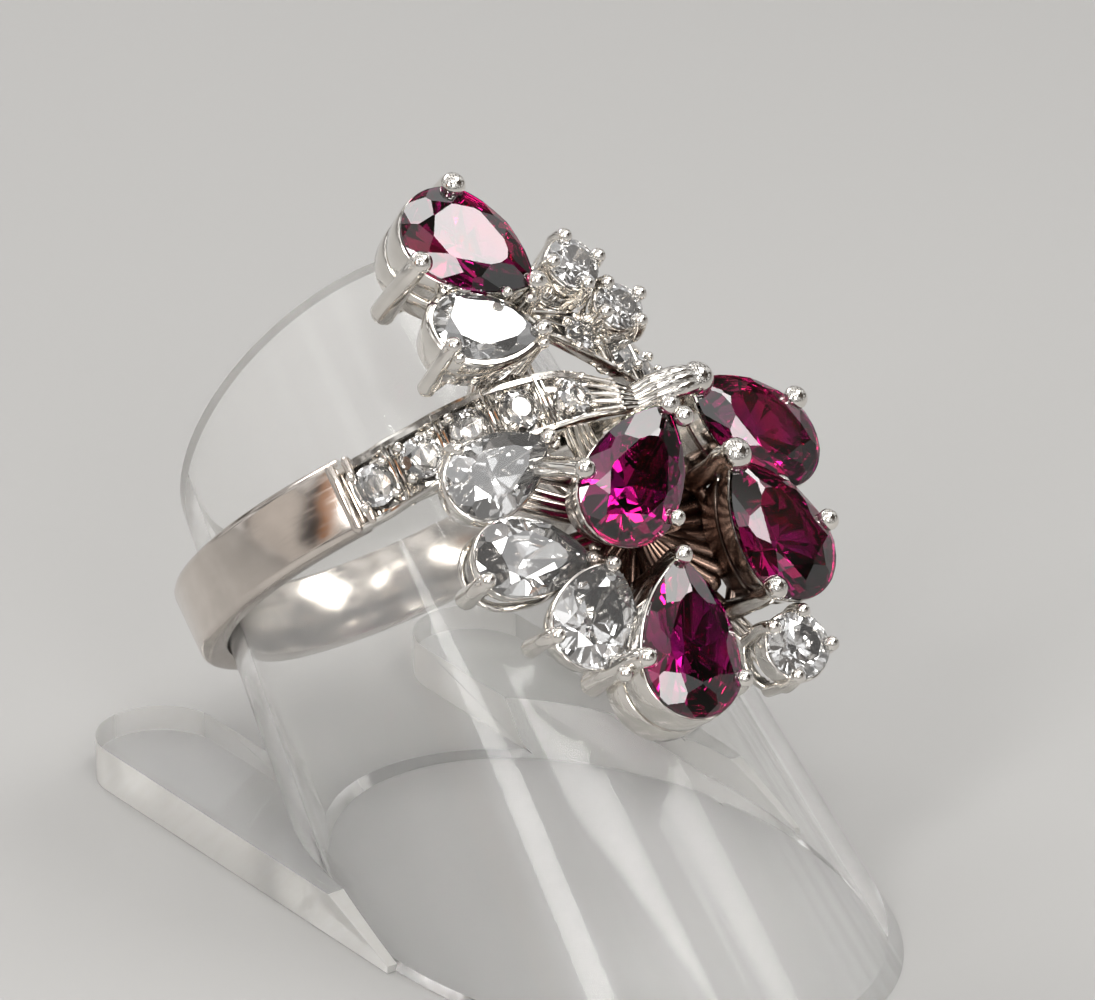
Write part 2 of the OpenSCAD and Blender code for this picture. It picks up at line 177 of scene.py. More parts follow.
# Pairs of raised bars where a shoulder starts: turn, half thickness, radius; and their ends along the finger
RAISED_BARS = ((JOIN_TURN, 0.25, 9.86), (JOIN_TURN - 4.0, 0.20, 10.02))
RAISED_BAR_ENDS = (-1.42, 0, 1.18)
# Finger rail: first turn, sweep, half width; its posts: number on each side, first turn, step
RAIL_START, RAIL_SWEEP, RAIL_HALF = -64, 128, 1.3
POSTS, POST_START, POST_STEP = 8, 57.5, 5.75
# Settings whose wall is cut back where a neighbour's stone stands against it
GIVES_WAY = {("ruby", 1): (PEARS[0],)}
# Hubs of the arms under the settings
LOW_HUB, HIGH_HUB = Vector((-1.2, -5.6, 11.2)), Vector((-3.4, 3.2, 11.6))
# Arms from the finger rail: turn, y and radius of their foot, hub, breadth at the foot and at the hub
RAIL_ARMS = (
    (0, -0.7, 9.6, LOW_HUB, 0.65, 0.85), (-20, -0.6, 9.6, LOW_HUB, 0.6, 0.75),
    (-9, 0.8, 9.6, HIGH_HUB, 0.6, 0.65), (-27, 0.6, 9.8, HIGH_HUB, 0.6, 0.6),
)
# Fan of ribs round the low hub: number, first turn, step, reach, rise
FAN_RIBS, FAN_START, FAN_STEP, FAN_REACH, FAN_RISE = 15, -112, 12.5, 3.7, 0.75
# The large claw: its head's place on the third ruby, the start of its stem, diameter of its head
LARGE_CLAW_HEAD, LARGE_CLAW_START, LARGE_CLAW_BALL = (3.05, 0, 0.35), (-3.5, -1.25, 13.2), 1.42

# Shoulder lines: turn about the finger, y, radius of the top face, half width
NEAR_LINE = (
    (-62.5, -0.20, 9.90, 1.40), (-55.0, -0.25, 10.20, 1.40), (-49.0, -0.15, 10.40, 1.40),
    (-43.0, -0.10, 10.65, 1.38), (-37.5, 0.00, 10.90, 1.36), (-32.0, 0.05, 11.20, 1.34),
    (-27.0, 0.05, 11.55, 1.32), (-22.5, 0.00, 11.90, 1.28), (-17.0, -0.15, 12.35, 1.22),
    (-12.5, -0.35, 12.75, 1.10), (-8.0, -0.75, 13.10, 0.85), (-4.5, -1.15, 13.40, 0.55),
    (-1.0, -1.60, 13.65, 0.25),
)
FAR_LINE = (
    (62.5, 0.00, 9.90, 1.40), (55.0, 0.00, 10.15, 1.40), (49.0, 0.00, 10.40, 1.40),
    (43.0, 0.00, 10.65, 1.40), (37.0, 0.00, 10.95, 1.40), (31.0, 0.00, 11.25, 1.40),
    (25.0, 0.00, 11.60, 1.38), (18.5, 0.05, 12.00, 1.36), (12.5, 0.15, 12.35, 1.32),
    (6.5, 0.45, 12.70, 1.28), (1.5, 0.95, 12.95, 1.22), (-3.5, 1.60, 13.05, 1.10),
    (-9.0, 2.35, 13.00, 0.85), (-14.0, 3.00, 12.90, 0.50),
)
# Shoulder stones: turn, y, radius of the girdle, diameter
NEAR_STONES = (
    (-55.0, -0.25, 10.06, 1.70), (-43.2, -0.10, 10.50, 1.70), (-32.0, 0.05, 11.06, 1.70),
    (-22.3, 0.00, 11.77, 1.65), (-12.6, -0.34, 12.60, 1.50),
)
FAR_STONES = (
    (55.0, 0.00, 10.01, 1.70), (43.0, 0.00, 10.51, 1.70), (31.5, 0.00, 11.08, 1.70),
    (20.5, 0.03, 11.75, 1.70), (10.8, 0.20, 12.31, 1.65), (2.0, 0.90, 12.79, 1.55),
    (-6.2, 1.96, 12.90, 1.35),
)
# Shoulders: name, line, stones, row where the channel closes, turn where the flutes start, their number
SHOULDERS = (
    ("near_shoulder", NEAR_LINE, NEAR_STONES, 9.6, -11.0, 5),
    ("far_shoulder", FAR_LINE, FAR_STONES, 11.3, -8.6, 3),
)


class RingSizes(bpy.types.PropertyGroup):
    """Sizes of the ring's metal."""

    band_width: bpy.props.FloatProperty(
        name="Band width", description="Width of the plain band along the finger",
        default=0.0031, min=0.0026, max=0.0033, unit="LENGTH", precision=5)
    band_thickness: bpy.props.FloatProperty(
        name="Band thickness", description="Thickness of the plain band",
        default=0.0011, min=0.001, max=0.0013, unit="LENGTH", precision=5)
    claw_ball: bpy.props.FloatProperty(
        name="Ruby claw head", description="Diameter of the rounded head of a ruby's claw",
        default=0.00094, min=0.0008, max=0.001, unit="LENGTH", precision=5)
    claw_stem: bpy.props.FloatProperty(
        name="Claw stem", description="Diameter of a claw below its head",
        default=0.0008, min=0.0006, max=0.0009, unit="LENGTH", precision=5)
    bead: bpy.props.FloatProperty(
        name="Shoulder bead", description="Diameter of the beads that hold the shoulder stones",
        default=0.00042, min=0.0003, max=0.0005, unit="LENGTH", precision=5)


class RingColours(bpy.types.PropertyGroup):
    """Colours of the metal, the rubies and the floor."""

    gold: bpy.props.FloatVectorProperty(
        name="White gold", description="Colour of the polished metal", subtype="COLOR",
        size=3, min=0, max=1, default=(0.80, 0.77, 0.725))
    ruby: bpy.props.FloatVectorProperty(
        name="Ruby", description="Colour of the pear-cut rubies", subtype="COLOR",
        size=3, min=0, max=1, default=(0.37, 0.003, 0.062))
    floor: bpy.props.FloatVectorProperty(
        name="Floor", description="Colour of the floor under the stand", subtype="COLOR",
        size=3, min=0, max=1, default=(0.352, 0.349, 0.343))


class StageLights(bpy.types.PropertyGroup):
    """Strength of the studio light."""

    key: bpy.props.FloatProperty(
        name="Main softbox", description="Power of the large softbox above the head", default=0.27,
        min=0, max=10, unit="POWER")
    fill: bpy.props.FloatProperty(
        name="Side softboxes", description="Power of the softboxes at the sides", default=0.27,
        min=0, max=10, unit="POWER")
    room: bpy.props.FloatProperty(
        name="Room light", description="Strength of the even light from all round", default=0.44,
        min=0, max=3)


def radians(*angles):
    """Several angles in radians."""
    return [math.radians(a) for a in angles]


def heading(angle):
    """Cosine and sine of an angle in degrees."""
    return math.cos(math.radians(angle)), math.sin(math.radians(angle))


def circle(count):
    """Points evenly round a circle of radius one."""
    return [(math.cos(math.tau * k / count), math.sin(math.tau * k / count)) for k in range(count)]


def on_turn(turn, y, radius):
    """A point at a turn about the finger."""
    c, s = heading(turn)
    return Vector((radius * s, y, radius * c))


def turned(turn, y, radius):
    """The frame of a thing seated on a shoulder: z out from the finger, y along it."""
    return Matrix.Translation(on_turn(turn, y, radius)) @ Matrix.Rotation(math.radians(turn), 4, "Y")


def seat_of(row):
    """The frame of a stone in its setting: z up through its table, x towards its point."""
    tilt_x, tilt_y, spin = radians(*row[3:6])
    return (Matrix.Translation(row[:3]) @ Matrix.Rotation(tilt_y, 4, "Y")
            @ Matrix.Rotation(tilt_x, 4, "X") @ Matrix.Rotation(spin, 4, "Z"))


def along(line, steps):
    """Rows of a shoulder line with a smooth curve between them."""
    rows = []
    last = len(line) - 1
    for i in range(last):
        p = [line[max(0, min(last, i + k))] for k in (-1, 0, 1, 2)]
        for step in range(steps):
            t = step / steps
            rows.append([0.5 * (2 * b + (c - a) * t + (2 * a - 5 * b + 4 * c - d) * t * t
                                + (3 * b - a - 3 * c + d) * t ** 3) for a, b, c, d in zip(*p)])
    rows.append(list(line[-1]))
    return rows


def at_line(line, turn):
    """The row of a shoulder line at one turn about the finger."""
    rows = along(line, 8)
    return min(rows, key=lambda row: abs(row[0] - turn))


def outline(length, width, out, count):
    """Outline of a stone moved outwards: a pear with its point along +x, or a circle."""
    if length - width < 0.01:
        r = width / 2 + out
        return [(r * c, r * s) for c, s in circle(count)]
    length, width = length + 2 * out, width + 2 * out
    r = width / 2
    reach = length - r
    big = (reach * reach + r * r) / (2 * r)
    sweep = math.asin(reach / big)
    back, side = count // 2, count // 4
    points = []
    for i in range(back):
        a = math.pi / 2 + math.pi * i / back
        points.append((r - length / 2 + r * math.cos(a), r * math.sin(a)))
    flank = []
    for i in range(side + 1):
        a = sweep * i / side
        flank.append((r - length / 2 + big * math.sin(a), big * math.cos(a) - big + r))
    points += [(x, -y) for x, y in flank[:-1]]
    points += [flank[side]] + flank[side - 1:0:-1]
    return points


def skinned(rings, closed=False):
    """Skins a row of rings; the ends are filled, or joined where the row is closed."""
    rows = [[*ring, ring[0]] for ring in rings]
    if closed:
        rows.append(rows[0])
    shape = bmesh.new()
    bmesh.ops.create_grid(shape, x_segments=len(rows[0]) - 1, y_segments=len(rows) - 1, size=1)
    for vert, spot in zip(shape.verts, (spot for row in rows for spot in row)):
        vert.co = spot
    bmesh.ops.remove_doubles(shape, verts=shape.verts[:], dist=1e-5)
    if not closed:
        bmesh.ops.edgeloop_fill(shape, edges=[e for e in shape.edges if e.is_boundary])
    bmesh.ops.recalc_face_normals(shape, faces=shape.faces[:])
    return shape


def prism(points, low, high):
    """A closed form with one outline from a low to a high level."""
    return skinned([[(x, y, z) for x, y in points] for z in (low, high)])


def joined(whole, shape, place=None):
    """Adds a loose shape to a piece, in its place."""
    if place is not None:
        shape.transform(place)
    mesh = bpy.data.meshes.new("loose")
    shape.to_mesh(mesh)
    shape.free()
    whole.from_mesh(mesh)
    bpy.data.meshes.remove(mesh)


def cut_off(shape, spot, normal):
    """Cuts away what lies beyond a plane and closes the cut."""
    cut = bmesh.ops.bisect_plane(shape, geom=shape.verts[:] + shape.edges[:] + shape.faces[:], dist=1e-5,
                                 plane_co=spot, plane_no=Vector(normal).normalized(), clear_outer=True)
    rim = [e for e in cut["geom_cut"] if isinstance(e, bmesh.types.BMEdge) and e.is_boundary]
    if len(rim) > 2:
        bmesh.ops.edgeloop_fill(shape, edges=rim)


def carved(shape, others):
    """Joins other closed shapes to a closed shape, or cuts them from it, in the order given."""
    def loose(form):
        """An object made of a loose shape, for a boolean to read."""
        bmesh.ops.recalc_face_normals(form, faces=form.faces[:])
        mesh = bpy.data.meshes.new("loose")
        form.to_mesh(mesh)
        form.free()
        item = bpy.data.objects.new("loose", mesh)
        bpy.context.scene.collection.objects.link(item)
        return item

    body = loose(shape)
    items = [loose(form) for form, _ in others]
    for item, (_, way) in zip(items, others):
        join = body.modifiers.new(way.title(), "BOOLEAN")
        join.operation = way
        join.object = item
        join.solver = "EXACT"
    bpy.context.view_layer.update()
    mesh = bpy.data.meshes.new_from_object(body.evaluated_get(bpy.context.evaluated_depsgraph_get()))
    made = bmesh.new()
    made.from_mesh(mesh)
    bpy.data.meshes.remove(mesh)
    for item in items + [body]:
        bpy.data.objects.remove(item)
    return made


def rod(points, radii, sides, flat=1.0):
    """A round bar along a smooth run of points, with rounded ends."""
    path = [Vector(p) for p in points]
    size = list(radii)
    first, last = (path[1] - path[0]).normalized(), (path[-1] - path[-2]).normalized()
    starts = [(path[0] - first * size[0] * k, size[0] * s) for k, s in ((0.75, 0.35), (0.45, 0.78))]
    ends = [(path[-1] + last * size[-1] * k, size[-1] * s) for k, s in ((0.45, 0.78), (0.75, 0.35))]
    path = [p for p, _ in starts] + path + [p for p, _ in ends]
    size = [s for _, s in starts] + size + [s for _, s in ends]
    side = first.orthogonal().normalized()
    rings = []
    for i, (p, r) in enumerate(zip(path, size)):
        way = (path[min(i + 1, len(path) - 1)] - path[max(i - 1, 0)]).normalized()
        side = (side - way * side.dot(way)).normalized()
        other = way.cross(side)
        rings.append([p + r * (side * c + other * (s * flat)) for c, s in circle(sides)])
    return skinned(rings)


def curve(points, steps):
    """A smooth run through a few points."""
    return [Vector(row) for row in along([tuple(p) for p in points], steps)]


def evenly(values, count):
    """Values spread over a longer run."""
    out = []
    for i in range(count):
        t = i / (count - 1) * (len(values) - 1)
        k = min(int(t), len(values) - 2)
        out.append(values[k] + (values[k + 1] - values[k]) * (t - k))
    return out


def ball(size, squash, fine):
    """A bead, flattened a little."""
    shape = bmesh.new()
    bmesh.ops.create_uvsphere(shape, u_segments=fine, v_segments=fine * 2 // 3, radius=size / 2)
    bmesh.ops.scale(shape, vec=(1, 1, squash), verts=shape.verts[:])
    return shape


def spun(section, start, sweep, steps):
    """Turns a section of (radius, y) points about the finger axis."""
    shape = bmesh.new()
    verts = bmesh.ops.create_circle(shape, segments=len(section), radius=1)["verts"]
    for vert, (r, y) in zip(verts, section):
        vert.co = (0, y, r)
    edges = shape.edges[:]
    bmesh.ops.rotate(shape, verts=shape.verts[:], cent=(0, 0, 0),
                     matrix=Matrix.Rotation(math.radians(start), 3, "Y"))
    whole = sweep > 359.9
    made = bmesh.ops.spin(shape, geom=verts + edges, cent=(0, 0, 0), axis=(0, 1, 0), dvec=(0, 0, 0),
                          angle=math.radians(sweep), steps=steps, use_duplicate=False, use_merge=whole)
    if not whole:
        last = [e for e in made["geom_last"] if isinstance(e, bmesh.types.BMEdge)]
        bmesh.ops.edgeloop_fill(shape, edges=edges)
        bmesh.ops.edgeloop_fill(shape, edges=last)
    return shape


def finished(name, shape, material, nodes, place=RING_PLACE, smooth=32, bevel=0.0):
    """Makes a piece of the object from its shape, in its place in the frame."""
    shape.transform(MM @ place)
    bmesh.ops.remove_doubles(shape, verts=shape.verts[:], dist=1e-7)
    bmesh.ops.recalc_face_normals(shape, faces=shape.faces[:])
    mesh = bpy.data.meshes.new(name)
    shape.to_mesh(mesh)
    shape.free()
    mesh.materials.append(material)
    if smooth:
        for polygon in mesh.polygons:
            polygon.use_smooth = True
        mesh.set_sharp_from_angle(angle=math.radians(smooth))
    piece = bpy.data.objects.new(name, mesh)
    bpy.context.scene.collection.objects.link(piece)
    if bevel:
        edge = piece.modifiers.new("Polished edges", "BEVEL")
        edge.width = bevel * 0.001
        edge.segments = 2
        edge.limit_method = "ANGLE"
        edge.angle_limit = math.radians(40)
        edge.harden_normals = False
    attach(piece, "root")
    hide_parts(*nodes)
    return piece


class Value:
    """An output socket of a node, which can be added and multiplied."""

    def __init__(self, graph, socket):
        self.graph = graph
        self.socket = socket

    def maths(self, operation, first, second):
        """Joins two values by a Math node."""
        return self.graph.value("ShaderNodeMath", {"operation": operation}, {0: first, 1: second})

    def __add__(self, other):
        return self.maths("ADD", self, other)

    def __radd__(self, other):
        return self.maths("ADD", other, self)

    def __mul__(self, other):
        return self.maths("MULTIPLY", self, other)

    def __rmul__(self, other):
        return self.maths("MULTIPLY", other, self)


class Graph:
    """The nodes of a material or of the room's light."""

    def __init__(self, tree):
        self.tree = tree

    def add(self, kind, settings, sockets):
        """Adds any node: its type, its settings and what its sockets take."""
        node = self.tree.nodes.new(kind)
        for key, value in settings.items():
            setattr(node, key, value)
        for key, value in sockets.items():
            self.feed(node.inputs[key], value)
        return node

    def feed(self, socket, value):
        """Links a value to a socket, or sets the socket to a constant."""
        if isinstance(value, Value):
            self.tree.links.new(value.socket, socket)
        else:
            socket.default_value = value

    def value(self, kind, settings, sockets, output=0):
        """Adds a node and takes one of its outputs."""
        return Value(self, self.add(kind, settings, sockets).outputs[output])

    def vector(self, operation, first, second=(0, 0, 0), output=0):
        """Joins two vectors by a Vector Math node."""
        return self.value("ShaderNodeVectorMath", {"operation": operation}, {0: first, 1: second}, output)

    def parts(self, vector):
        """The x, y and z of a vector."""
        node = self.add("ShaderNodeSeparateXYZ", {}, {"Vector": vector})
        return [Value(self, socket) for socket in node.outputs]

    def between(self, value, low, high, to_low, to_high, shape="LINEAR"):
        """Maps a value from one range to another and holds it there."""
        return self.value("ShaderNodeMapRange", {"clamp": True, "interpolation_type": shape},
                          {"Value": value, "From Min": low, "From Max": high, "To Min": to_low,
                           "To Max": to_high})

    def mixed(self, share, first, second):
        """Mixes two colours."""
        return self.value("ShaderNodeMix", {"data_type": "RGBA"}, {0: share, 6: first, 7: second}, 2)


class Finish(Graph):
    """A material under construction, with its shader's own sockets set directly."""

    def __init__(self, name, **constants):
        self.material = bpy.data.materials.new(name)
        self.material.use_nodes = True
        super().__init__(self.material.node_tree)
        self.shader = self.tree.nodes["Principled BSDF"]
        for key, value in constants.items():
            self.shader.inputs[key.replace("_", " ")].default_value = value

    def places(self, place, stretch=(1, 1, 1)):
        """Object coordinates in millimetres, turned to a piece's own directions."""
        spot = self.value("ShaderNodeTexCoord", {}, {}, "Object")
        scale = tuple(0.001 * s for s in stretch)
        return self.value("ShaderNodeMapping", {"vector_type": "TEXTURE"},
                          {"Vector": spot, "Location": place.to_translation() * 0.001,
                           "Rotation": place.to_euler(), "Scale": scale})

    def noise(self, places, scale, detail, rough=0.5):
        """Soft noise with its scale per millimetre."""
        return self.value("ShaderNodeTexNoise", {}, {"Vector": places, "Scale": scale, "Detail": detail,
                                                     "Roughness": rough})

    def bump(self, height, strength, distance):
        """A normal that follows a height."""
        return self.value("ShaderNodeBump", {}, {"Height": height, "Strength": strength,
                                                 "Distance": distance}, "Normal")

    def shows(self, **sockets):
        """Feeds the shader what varies, and gives the material."""
        for key, value in sockets.items():
            self.feed(self.shader.inputs[key.replace("_", " ")], value)
        return self.material


def shade(colour, factor=1.0):
    """A colour made lighter or darker, with full cover."""
    return tuple(min(1.0, c * factor) for c in colour) + (1.0,)


def cut_edges(name):
    """Sawn and rubbed edges of the acrylic: milky, softly shining, a trace of straw colour."""
    finish = Finish(name, IOR=1.20, Transmission_Weight=0.65, Coat_Weight=0.12, Coat_Roughness=0.20)
    saw = finish.noise(finish.places(TO_PART, (1, 1, 6)), 2.2, 3.0, 0.6)
    tint = finish.mixed(finish.between(saw, 0.3, 0.75, 0, 1),
                        (0.96, 0.95, 0.925, 1), (0.91, 0.895, 0.855, 1))
    return finish.shows(Base_Color=tint, Roughness=finish.between(saw, 0.3, 0.8, 0.30, 0.38))


def polished_gold(name, colour, wear, round_finger=False):
    """White gold: bright, slightly warm, with fine wear scratches, soft unevenness, and painted shade with
    tarnished brown between the settings.
    """
    finish = Finish(name, Metallic=1.0)
    places = finish.places(RING_PLACE)
    cloud = finish.noise(places, 0.9, 2.0)
    if round_finger:
        x, y, z = finish.parts(places)
        turn = x.maths("ARCTAN2", x, z)
        round_about = finish.value("ShaderNodeCombineXYZ", {}, {"X": turn * 5.0, "Y": y * 7.0, "Z": 0.0})
        lines = finish.noise(round_about, 1.1, 5.0, 0.6)
    else:
        lines = finish.noise(places, 5.0, 5.0, 0.6)
    scratch = finish.between(lines, 0.50, 0.64, 0.0, 1.0)
    # Painted shade, with tarnish: the metal turns dark brown and rougher towards the hollow between the
    # settings, where shade falls
    inwards = finish.vector("SUBTRACT", places, SHADE_AND_TARNISH_MIDDLE)
    inwards = finish.vector("LENGTH", finish.vector("MULTIPLY", inwards, SHADE_AND_TARNISH_STRETCH), output="Value")
    shade_and_tarnish = finish.between(inwards + cloud, 2.6, 4.5, 1.0, 0.0, "SMOOTHSTEP")
    rough = (0.10 if round_finger else 0.06) + wear * 0.06 * scratch + wear * 0.10 * cloud + 0.16 * shade_and_tarnish
    tint = finish.mixed(finish.between(cloud, 0.35, 0.7, 0, 1), shade(colour, 0.94), shade(colour, 1.06))
    tint = finish.mixed(shade_and_tarnish, tint, SHADE_AND_TARNISH_COLOUR)
    return finish.shows(Base_Color=tint, Roughness=rough, Normal=finish.bump(scratch, 0.02, 0.00001))


def cut_ruby(name, colour):
    """Ruby: clear, deep magenta red, with clouds of purple in it."""
    finish = Finish(name, IOR=1.77, Transmission_Weight=1.0, Specular_IOR_Level=0.30)
    places = finish.places(RING_PLACE)
    cloud = finish.noise(places, 0.40, 2.0)
    purple = (colour[0] * 0.55, colour[1], colour[2] * 1.6, 1)
    tint = finish.mixed(finish.between(cloud, 0.40, 0.60, 0, 1), purple, shade(colour))
    silk = finish.noise(places, 6.0, 3.0)
    return finish.shows(Base_Color=tint, Roughness=finish.between(silk, 0.45, 0.75, 0.0, 0.03))


def cut_diamond(name):
    """Diamond: colourless, with a trace of cool and warm grey."""
    finish = Finish(name, IOR=2.42, Transmission_Weight=0.945)
    cloud = finish.noise(finish.places(RING_PLACE), 0.6, 1.0)
    tint = finish.mixed(cloud, (1.0, 0.995, 0.985, 1), (0.99, 0.995, 1.0, 1))
    return finish.shows(Base_Color=tint, Roughness=finish.between(cloud, 0.3, 0.7, 0.0, 0.01))


def clear_acrylic(name):
    """Clear acrylic: handled surfaces with fine upright scratches and faint smudges."""
    finish = Finish(name, IOR=1.16, Transmission_Weight=0.92, Coat_Weight=0.16, Coat_Roughness=0.18)
    lines = finish.noise(finish.places(TO_PART, (1, 12, 1)), 1.6, 3.0, 0.6)
    scratch = finish.between(lines, 0.62, 0.74, 0.0, 1.0)
    cloud = finish.noise(finish.places(TO_PART), 0.16, 3.0)
    rough = finish.between(cloud, 0.45, 0.75, 0.015, 0.05) + 0.05 * scratch
    tint = finish.mixed(finish.between(cloud, 0.4, 0.7, 0, 1),
                        (0.955, 0.955, 0.95, 1), (0.94, 0.94, 0.93, 1))
    return finish.shows(Base_Color=tint, Roughness=rough, Normal=finish.bump(scratch, 0.02, 0.00001))


def pale_floor(name, colour):
    """Matt paper, a little uneven in its tone."""
    finish = Finish(name, Roughness=0.55)
    cloud = finish.noise(finish.places(Matrix.Identity(4)), 0.01, 2.0)
    return finish.shows(Base_Color=finish.mixed(cloud, shade(colour, 0.985), shade(colour, 1.015)))


def the(name, make, *settings):
    """A material, made the first time that a piece asks for it."""
    return bpy.data.materials.get(name) or make(name, *settings)


def gold_piece(name, shape):
    """Makes a piece of the ring's metal, with the finish of all the gold but the band."""
    gold = the("white_gold_polished", polished_gold, bpy.context.scene.ring_colours.gold, 0.5)
    finished(name, shape, gold, ["ring_mount"])


def band_gold():
    """The duller, more scratched finish of the plain band, its colour darkened and warmed as painted shade.
    """
    # Painted shade: the band's gold is a darker, warmer copy of the gold of the other pieces
    darkened_gold = [c * share for c, share in zip(bpy.context.scene.ring_colours.gold, BAND_PAINTED_SHADE)]
    return the("white_gold_band", polished_gold, darkened_gold, 1.0, True)


def size_mm(name):
    """One of the ring's sizes, in millimetres."""
    return getattr(bpy.context.scene.ring_sizes, name) * 1000


def both_sides(half, reach):
    """A whole section from half of it: rows of a radius and a step in from the edge."""
    return [(r, step - reach) for r, step in half] + [(r, reach - step) for r, step in reversed(half)]


# Section of a shoulder's plate: side, step in from the edge, height over the top face
PLATE_SECTION = (
    (-1, 0.14, -0.68), (-1, 0.04, -0.62), (-1, 0.00, -0.45), (-1, 0.00, -0.16), (-1, -0.05, -0.04),
    (-1, -0.13, 0.00), (-1, -0.22, -0.01), (-1, -0.28, -0.07), (-1, -0.33, -0.60),
    (1, -0.45, -0.60), (1, -0.40, -0.07), (1, -0.34, 0.00), (1, -0.17, 0.03), (1, -0.05, -0.03),
    (1, 0.00, -0.16), (1, 0.00, -0.45), (1, 0.04, -0.62), (1, 0.14, -0.68),
)


def shoulder_plate(line, closed_from):
    """A shoulder's plate with a channel for its stones, which closes towards the tip."""
    rows = along(line, 6)
    rings = []
    for number, (turn, y, radius, half) in enumerate(rows):
        share = max(0.0, min(1.0, (number / 6 - closed_from) / 1.2))
        ring = []
        for side, step, height in PLATE_SECTION:
            inner = max(0.03, half + step) if step < 0 else half - min(step, half * 0.4)
            deep = height if height > -0.3 or step >= 0 else height * (1 - share) - 0.06 * share
            ring.append(on_turn(turn, y + side * inner, radius + deep))
        rings.append(ring)
    return skinned(rings)


def flutes(line, start, count, size):
    """Fine ridges that run together at a shoulder's tip."""
    whole = bmesh.new()
    rows = [row for row in along(line, 6) if abs(row[0] - line[-1][0]) <= abs(start - line[-1][0])]
    for k in range(count):
        share = -0.72 + 1.44 * k / (count - 1)
        points = [on_turn(t, y + share * half, radius + 0.02) for t, y, radius, half in rows]
        radii = [max(0.05, min(size, half * 1.1 / count)) * min(1.0, 0.3 + 0.1 * i)
                 for i, (_, _, _, half) in enumerate(rows)]
        joined(whole, rod(points, radii, 10))
    return whole


def cell_bars(line, stones):
    """Two thin bars between neighbouring stones, and a bead at each corner of a stone's cell."""
    whole = bmesh.new()
    bead = size_mm("bead")
    for first, second in zip(stones, stones[1:]):
        middle = (first[0] + second[0]) / 2
        for shift in (-1, 1):
            row = at_line(line, middle)
            turn = middle + shift * math.degrees(0.12 / row[2])
            y, radius, half = row[1:]
            ends = [on_turn(turn, y + s * (half - 0.22), radius - 0.06) for s in (-1, 0, 1)]
            joined(whole, rod(ends, [0.075, 0.075, 0.075], 8))
        web = [on_turn(middle, y + s * (half - 0.24), radius - 0.5) for s in (-1, 0, 1)]
        joined(whole, rod(web, [0.36, 0.36, 0.36], 8, 0.25))
    for turn, y, radius, size in stones:
        place = turned(turn, y, radius)
        for sx in (-1, 1):
            for sy in (-1, 1):
                spot = Matrix.Translation((sx * size * 0.40, sy * size * 0.40, 0.17))
                joined(whole, ball(bead, 0.9, 12), place @ spot)
    return whole


def collet(length, width, levels, count=48):
    """A closed wall round a stone: its section is a run of (out, height) points."""
    return skinned([[Vector((x, y, z)) for x, y in outline(length, width, out, count)]
                    for out, z in levels], closed=True)


def wall_levels(out_top, out_low, top, low, thick):
    """Section of a wall with rounded rims, from outside top down and back up inside."""
    r = min(0.09, thick * 0.4)
    return ((out_top - r, top), (out_top - r * 0.3, top - r * 0.3), (out_top, top - r),
            ((out_top + out_low) / 2 + 0.015, (top + low) / 2),
            (out_low, low + r), (out_low - r * 0.3, low + r * 0.3), (out_low - r, low),
            (out_low - thick + r, low), (out_low - thick, low + r),
            (out_top - thick, top - r), (out_top - thick + r, top))


def claw(spot, way, depth, head, stem, splay):
    """A claw outside the wall: a straight bar that leans out at its foot and bends in to a rounded head."""
    spot, way = Vector((*spot, 0)), Vector((*way, 0)).normalized()
    path = curve([spot + way * out + Vector((0, 0, z)) for out, z in (
        (splay, -depth), (0.12 + 0.72 * splay, -depth * 0.5), (0.24 + 0.2 * splay, -0.60), (0.16, -0.05),
        (0.02, 0.20))], 5)
    radii = [stem * 0.60, stem * 0.54, stem * 0.50, stem * 0.50, head * 0.45]
    shape = bmesh.new()
    joined(shape, rod(path, evenly(radii, len(path)), 16))
    joined(shape, ball(head, 0.82, 20), Matrix.Translation(spot + Vector((0, 0, 0.28))))
    return shape


def pear_setting(row, walls, claws, neighbours):
    """A pear's setting: its walls, its claws outside them, and the bars that join their feet."""
    length, width, depth = row[6:]
    whole = bmesh.new()
    for top, low, out_top, out_low, thick in walls:
        wall = collet(length, width, wall_levels(out_top, out_low, top, low, thick))
        for other in neighbours:
            room = prism(outline(other[6], other[7], 0.12, 48), -0.8, 2.0)
            room.transform(seat_of(row).inverted() @ seat_of(other))
            wall = carved(wall, ((room, "DIFFERENCE"),))
        joined(whole, wall)
    r = width / 2
    base = (0, 0, -depth + 0.15)
    bars = []
    for angle, head, stem, splay in claws:
        c, s = heading(angle)
        x, y = (length / 2 - 0.30 + head * 0.35, 0) if angle == 0 else (r - length / 2 + r * c, r * s)
        joined(whole, claw((x, y), (c, s), depth, head, stem, splay))
        foot = Vector((x + c * splay, y + s * splay, -depth))
        bars.append((foot, (foot.x * 0.5, foot.y * 0.5, -depth + 0.1), base))
    if all(angle for angle, *_ in claws):
        bars.append(((length / 2 - 0.1, 0, -0.7), (length / 4, 0, -depth + 0.1), base))
    for path in bars:
        joined(whole, rod(path, [0.30, 0.30, 0.34], 12))
    whole.transform(seat_of(row))
    return whole


def round_setting(row, angles, head):
    """A round stone's setting: a wall under the girdle and four claws on a small base."""
    size, _, depth = row[6:]
    whole = bmesh.new()
    joined(whole, collet(size, size, wall_levels(0.10, 0.02, -0.10, -0.24 - depth * 0.42, 0.26), 40))
    for angle in angles:
        c, s = heading(angle)
        joined(whole, claw((size / 2 * c, size / 2 * s), (c, s), depth, head, 0.5, -0.05))
    joined(whole, collet(size, size, wall_levels(0.06, 0.02, -depth + 0.25, -depth - 0.18, 0.46), 40))
    whole.transform(seat_of(row))
    return whole


